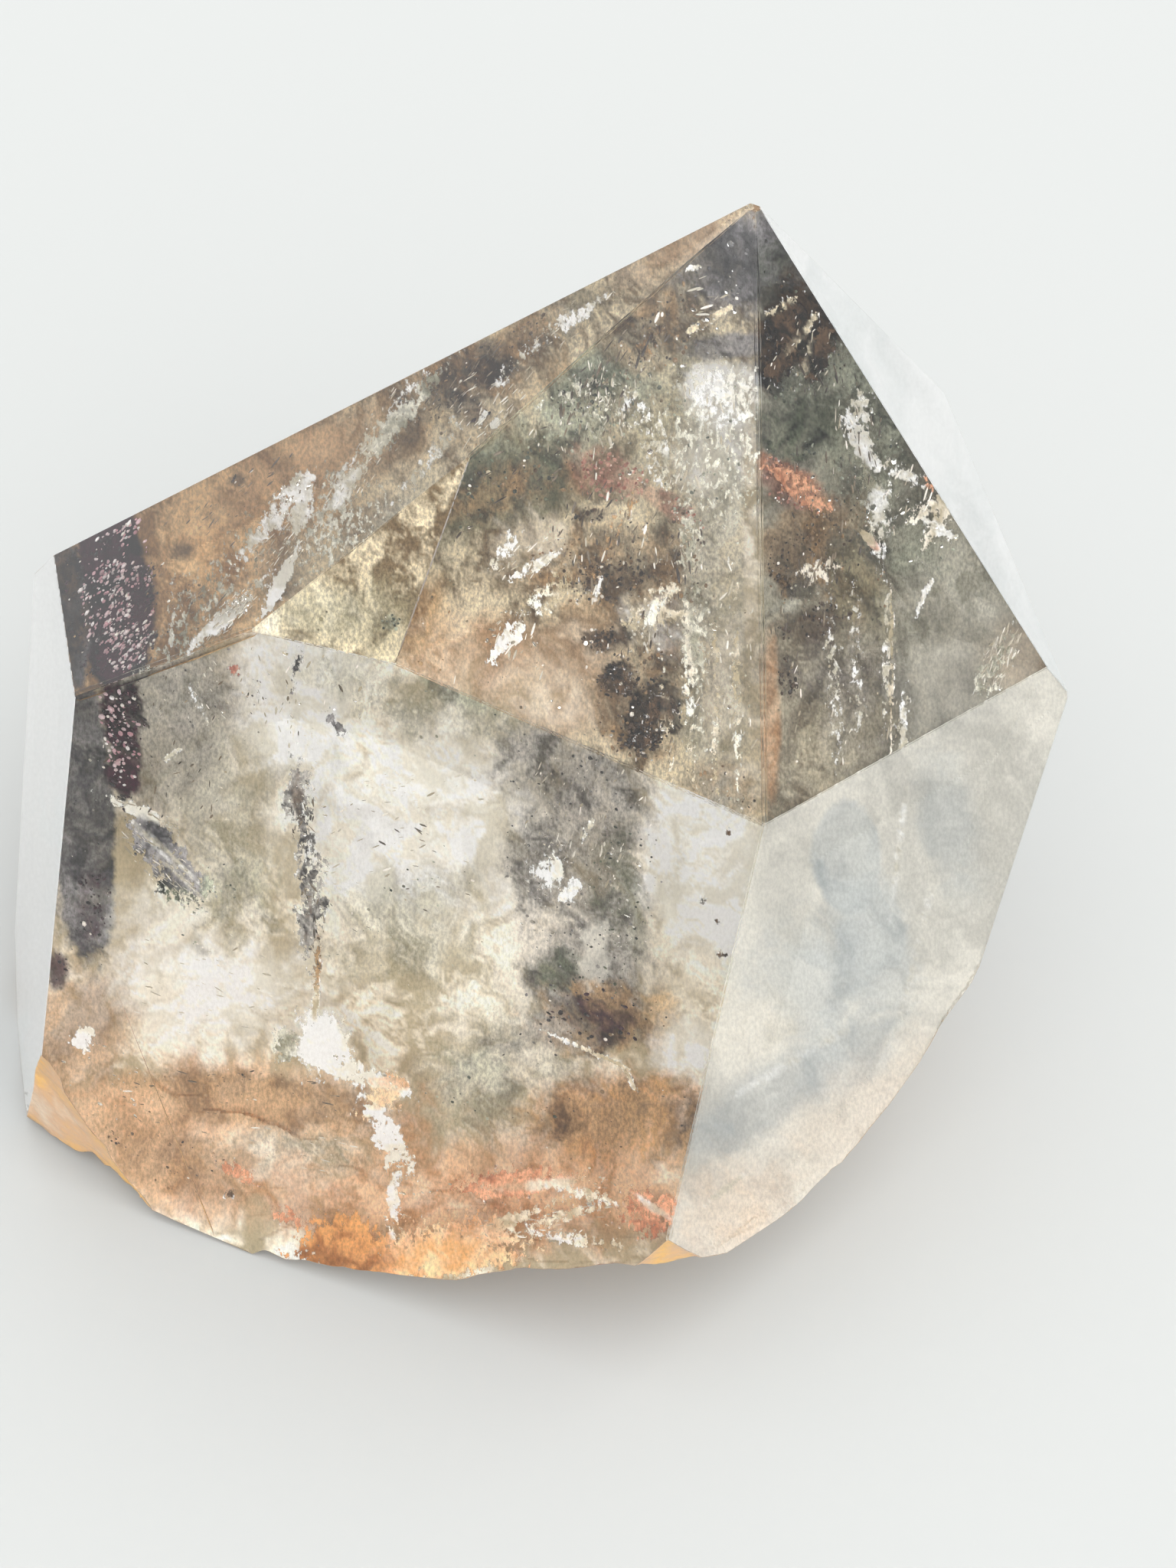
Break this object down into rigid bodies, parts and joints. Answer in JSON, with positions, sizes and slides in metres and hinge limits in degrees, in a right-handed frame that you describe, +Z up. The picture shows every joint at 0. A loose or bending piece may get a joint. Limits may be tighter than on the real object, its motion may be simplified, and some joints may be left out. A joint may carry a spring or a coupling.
{
  "type": "lodolite quartz point",
  "caption": "Clear quartz point with flat polished faces over a rough broken base, which it stands on. Mineral inclusions show inside it.",
  "frame": {"origin": "middle of the underside's box, on the surface that the crystal stands on", "axes": "+Z up, towards the tip; -Y towards the large front face; +X to the right as that face is seen"},
  "size_m": [0.0676, 0.0626, 0.0732],
  "materials": {
    "included_quartz": "polished clear quartz with green, brown, plum and red mineral inclusions, rough peach-stained break underneath"
  },
  "bodies": {
    "root": {"quartz_point": "included_quartz"}
  },
  "joints": []
}
